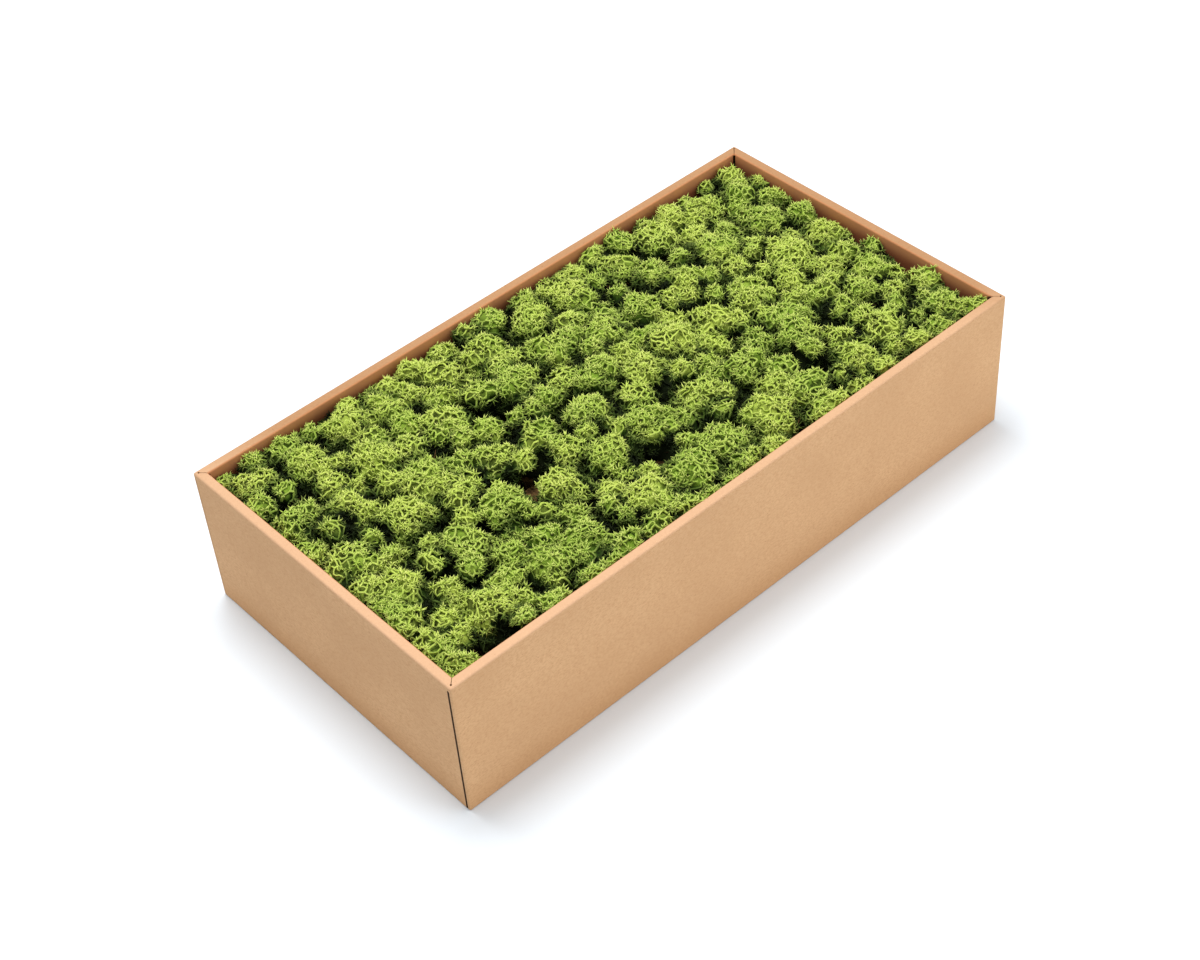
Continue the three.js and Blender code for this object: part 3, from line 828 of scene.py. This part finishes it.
    straw_top, straw_foot = RIM_TOP - STRAW_DEPTH[0], RIM_TOP - STRAW_DEPTH[1]
    low_enough = eased(tree, height, straw_top, straw_top - STRAW_FADE)
    deep_end = eased(tree, height, straw_foot, straw_foot + STRAW_FADE)
    roots = add_node(tree, "GeometryNodeDistributePointsOnFaces", {
        "Mesh": heart, "Distance Min": given["Straw Spacing"], "Density Max": STRAW_DENSITY,
        "Density Factor": sum_of(tree, "MULTIPLY", low_enough, deep_end), "Seed": given["Seed"],
    }, distribute_method="POISSON")
    lean = add_node(tree, "FunctionNodeRotateRotation", {
        0: roots.outputs["Rotation"], 1: leaning(tree, STRAW_LEAN, given["Seed"]),
    }, rotation_space="LOCAL")
    straw_size = random_size(tree, STRAW_SCALE, given["Seed"])
    straws = of_kinds(
        tree, roots.outputs["Points"], given["Straws"], given["Seed"], lean.outputs[0], straw_size,
    )

    dressed = add_node(tree, "GeometryNodeJoinGeometry")
    for geometry, material in (
        (straws, given["Stalk Material"]),
        (strands, given["Strand Material"]),
        (sprigs, given["Strand Material"]),
    ):
        whole = add_node(tree, "GeometryNodeRealizeInstances", {0: geometry})
        painted = add_node(tree, "GeometryNodeSetMaterial", {
            "Geometry": whole.outputs[0], "Material": material,
        })
        tree.links.new(painted.outputs[0], dressed.inputs[0])
    smooth = add_node(tree, "GeometryNodeSetShadeSmooth", {0: dressed.outputs[0]})
    add_node(tree, "NodeGroupOutput", {0: smooth.outputs[0]})
    return tree


def cut_level(mesh, height, keep_above):
    """Cuts a closed mesh level at a height, keeps one part and closes it."""
    geometry = mesh.verts[:] + mesh.edges[:] + mesh.faces[:]
    bmesh.ops.bisect_plane(
        mesh, geom=geometry, plane_co=(0, 0, height), plane_no=(0, 0, 1),
        clear_inner=keep_above, clear_outer=not keep_above,
    )
    rim = [edge for edge in mesh.edges if edge.is_boundary]
    bmesh.ops.holes_fill(mesh, edges=rim, sides=0)
    bmesh.ops.triangulate(mesh, faces=[face for face in mesh.faces if len(face.verts) > 4])
    bmesh.ops.recalc_face_normals(mesh, faces=mesh.faces)


def clump_copy(node):
    """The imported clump's mesh with its loose triangles merged."""
    mesh = bmesh.new()
    mesh.from_mesh(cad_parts[node].data)
    bmesh.ops.remove_doubles(mesh, verts=mesh.verts, dist=SAME_POINT)
    return mesh


def keep_inside_tray(mesh):
    """Presses what would stand through the tray's inner walls back against them."""
    for axis in (0, 1):
        wall = (tray_high - tray_low)[axis] / 2 - RIM_WIDTH - WALL_GAP
        for vert in mesh.verts:
            over = abs(vert.co[axis]) - (wall - PRESS_DEPTH)
            if over > 0 and vert.co.z < RIM_TOP + PRESS_HEIGHT:
                pressed = wall - PRESS_DEPTH * math.exp(-over / PRESS_DEPTH)
                vert.co[axis] = math.copysign(pressed, vert.co[axis])


def evened(piece, voxel, smoothing):
    """Remeshes a piece evenly and smooths it."""
    remesh = piece.modifiers.new("even", "REMESH")
    remesh.mode = "VOXEL"
    remesh.voxel_size = voxel
    remesh.use_smooth_shade = True
    smooth = piece.modifiers.new("soft", "SMOOTH")
    smooth.iterations = smoothing


def draft_of(data, name):
    """An object to work a mesh on."""
    draft = bpy.data.objects.new(name, data)
    bpy.context.scene.collection.objects.link(draft)
    return draft


def worked(draft):
    """The mesh that a draft's modifiers make. The draft itself goes."""
    graph = bpy.context.evaluated_depsgraph_get()
    data = bpy.data.meshes.new_from_object(draft.evaluated_get(graph))
    bpy.data.objects.remove(draft)
    return data


def clump_heart(node, kit, clump, seed):
    """The solid tangle inside a clump's crown, as an even mesh to set strands on."""
    crown = clump_copy(node)
    cut_level(crown, RIM_TOP - CROWN_CUT, keep_above=True)
    data = bpy.data.meshes.new("crown")
    crown.to_mesh(data)
    crown.free()
    draft = draft_of(data, "crown")
    evened(draft, CROWN_VOXEL, CROWN_SMOOTHING)
    grow(draft, kit["heart tree"], {**kit, "Clump": clump, "Seed": seed})
    evened(draft, HEART_VOXEL, HEART_SMOOTHING)
    return worked(draft)


def clump_stalk(node):
    """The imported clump's own stalks, below its crown."""
    stalk = clump_copy(node)
    cut_level(stalk, RIM_TOP - CROWN_CUT + CROWN_OVERLAP, keep_above=False)
    data = bpy.data.meshes.new("stalk")
    stalk.to_mesh(data)
    stalk.free()
    return data


def moss_clump(node, kit, clump, seed):
    """The dressed piece that stands for a packed clump."""
    draft = draft_of(clump_heart(node, kit, clump, seed), "heart")
    fewer = draft.modifiers.new("fewer faces", "DECIMATE")
    fewer.ratio = HEART_KEPT
    grow(draft, kit["tones tree"], kit)
    heart = worked(draft)
    leafy = draft_of(heart.copy(), "strands")
    grow(leafy, kit["strands tree"], {**kit, "Seed": seed})

    whole = bmesh.new()
    piece_materials = [kit["Strand Material"], kit["Heart Material"], kit["Stalk Material"]]
    for data, slot in ((worked(leafy), None), (heart, 1), (clump_stalk(node), 2)):
        before = len(whole.faces)
        whole.from_mesh(data)
        whole.faces.ensure_lookup_table()
        named = [piece_materials.index(material) if material else 0 for material in data.materials]
        for face in whole.faces[before:]:
            face.material_index = named[face.material_index] if slot is None else slot
    keep_inside_tray(whole)
    name = node.replace("moss_clump", "moss_head")
    data = bpy.data.meshes.new(name)
    whole.to_mesh(data)
    whole.free()
    for material in piece_materials:
        data.materials.append(material)
    piece = draft_of(data, name)
    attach(piece, "root")
    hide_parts(node)
    return piece


def head_seats(clumps, draw):
    """The middle of each round head, its radius and its clump. Each clump's main head comes first."""
    middles = []
    for node in clumps:
        low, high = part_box(node)
        middles.append(((low.x + high.x) / 2, (low.y + high.y) / 2, high.z - TIP_ROOM))
    reach_x, reach_y = tray_high.x - RIM_WIDTH, tray_high.y - RIM_WIDTH
    seats = []
    for size, sizes in enumerate(HEAD_SIZES):
        for throw in range(len(middles) if size == 0 else HEAD_THROWS):
            radius = draw.uniform(*sizes)
            if size == 0:
                x = middles[throw][0] + draw.uniform(-HEAD_SHIFT, HEAD_SHIFT)
                y = middles[throw][1] + draw.uniform(-HEAD_SHIFT, HEAD_SHIFT)
            else:
                x = draw.uniform(-reach_x, reach_x)
                y = draw.uniform(-reach_y, reach_y)
            limit_x = reach_x - APART_FROM_WALL * radius
            limit_y = reach_y - APART_FROM_WALL * radius
            x = min(max(x, -limit_x), limit_x)
            y = min(max(y, -limit_y), limit_y)
            clump = min(
                range(len(middles)), key=lambda i: math.hypot(x - middles[i][0], y - middles[i][1]),
            )
            crowded = any(
                math.hypot(x - seat[0], y - seat[1])
                < (APART_IN_CLUMP if seat[4] == clump else APART_FROM_OTHERS) * (radius + seat[3])
                for seat in seats
            )
            sunk = any(
                math.hypot(x - a, y - b) < HOLLOW_CORE * width + APART_FROM_HOLLOW * radius
                for a, b, width in HOLLOWS
            )
            if size > 0 and (crowded or sunk):
                continue
            top = middles[clump][2] - (draw.uniform(*HEAD_DROP) if size > 0 else 0.0)
            if reach_x - abs(x) < WALL_REACH or reach_y - abs(y) < WALL_REACH:
                top = max(top, RIM_TOP - draw.uniform(*WALL_DROP))
            seats.append((x, y, top - radius, radius, clump))
    return seats


def points_object(name, places, widths, owners=None):
    """Single points that carry a width each, for the geometry trees to read."""
    data = bpy.data.meshes.new(name)
    data.from_pydata(places, [], [])
    for label, values in (("width", widths), ("clump", owners)):
        if values:
            layer = data.attributes.new(label, "FLOAT", "POINT")
            for i, value in enumerate(values):
                layer.data[i].value = value
    return bpy.data.objects.new(name, data)


def moss():
    """Every clump of moss in the tray."""
    draw = random.Random(MOSS_SEED)
    clumps = sorted(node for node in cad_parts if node.startswith("moss_clump"))
    seats = head_seats(clumps, draw)
    kit = {
        "Strand Material": moss_material(),
        "Heart Material": heart_material(),
        "Stalk Material": stalk_material(),
        "heart tree": heart_tree(),
        "tones tree": tones_tree(),
        "strands tree": strands_tree(),
        "Hollows": points_object(
            "hollows", [(x, y, 0.0) for x, y, _ in HOLLOWS], [width for _, _, width in HOLLOWS],
        ),
        "Seats": points_object(
            "seats", [seat[:3] for seat in seats], [seat[3] for seat in seats], [seat[4] for seat in seats],
        ),
    }
    kit["Heads"] = kinds_of("head", HEAD_KINDS, lobed_head, draw, kit["Heart Material"])
    kit["Sprigs"] = kinds_of("sprig", SPRIG_KINDS, sprig, draw, kit["Strand Material"])
    kit["Straws"] = kinds_of("straw", STRAW_KINDS, straw, draw, kit["Stalk Material"])
    return [moss_clump(node, kit, i, MOSS_SEED + 100 * i) for i, node in enumerate(clumps)]


def kraft_tray():
    """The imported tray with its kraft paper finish."""
    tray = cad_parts["kraft_tray"]
    tray.data.materials.clear()
    tray.data.materials.append(kraft_material())
    return tray


# The camera, fitted to the tray's corners in the photograph
CAMERA_PLACE = Vector((-0.6914, -0.8279, 1.0529))
CAMERA_RIGHT = Vector((0.73597, -0.67431, -0.06047))
CAMERA_UP = Vector((0.49909, 0.48003, 0.72144))
CAMERA_FORWARD = Vector((0.45745, 0.56114, -0.68983))
CAMERA_LENS = 63.77
SENSOR_WIDTH = 36.0
SIGHT = 20.0

# The studio: each lamp's place, width and power, the point that all look at, and the floor
LAMPS = {
    "key light": ((-0.05, 0.42, 1.8), 0.8, 22),
    "overhead light": ((0.15, 0.1, 1.7), 1.6, 12),
    "front light": ((0.9, -1.5, 0.7), 1.0, 8),
}
LAMP_AIM = Vector((0, 0, 0.05))
SKY_STRENGTH = 0.6
FLOOR_REACH = 6.0
FLOOR_DROP = 0.2 * MM


def camera():
    """The camera at the photograph's viewing angle."""
    data = bpy.data.cameras.new("camera")
    data.lens = CAMERA_LENS
    data.sensor_width = SENSOR_WIDTH
    data.clip_end = SIGHT
    eye = bpy.data.objects.new("camera", data)
    turn = Matrix((CAMERA_RIGHT, CAMERA_UP, -CAMERA_FORWARD)).transposed()
    eye.matrix_world = Matrix.Translation(CAMERA_PLACE) @ turn.to_4x4()
    bpy.context.scene.collection.objects.link(eye)
    bpy.context.scene.camera = eye


def soft_light(name, place, size, power):
    """A square lamp that looks at the tray."""
    data = bpy.data.lights.new(name, "AREA")
    data.shape = "SQUARE"
    data.size = size
    data.energy = power
    lamp = bpy.data.objects.new(name, data)
    lamp.location = place
    lamp.rotation_mode = "QUATERNION"
    lamp.rotation_quaternion = (LAMP_AIM - Vector(place)).to_track_quat("-Z", "Y")
    bpy.context.scene.collection.objects.link(lamp)


def studio():
    """A plain pale floor under soft light."""
    mesh = bmesh.new()
    bmesh.ops.create_grid(mesh, x_segments=1, y_segments=1, size=FLOOR_REACH)
    data = bpy.data.meshes.new("floor")
    mesh.to_mesh(data)
    mesh.free()
    data.materials.append(floor_material())
    floor = bpy.data.objects.new("floor", data)
    floor.location.z = -FLOOR_DROP
    bpy.context.scene.collection.objects.link(floor)

    world = bpy.data.worlds.new("studio")
    world.use_nodes = True
    sky = world.node_tree.nodes["Background"]
    sky.inputs["Color"].default_value = (1.0, 1.0, 1.0, 1.0)
    sky.inputs["Strength"].default_value = SKY_STRENGTH
    bpy.context.scene.world = world
    for name, (place, size, power) in LAMPS.items():
        soft_light(name, place, size, power)
    bpy.context.scene.view_settings.view_transform = "Standard"


camera()
studio()
kraft_tray()
moss()
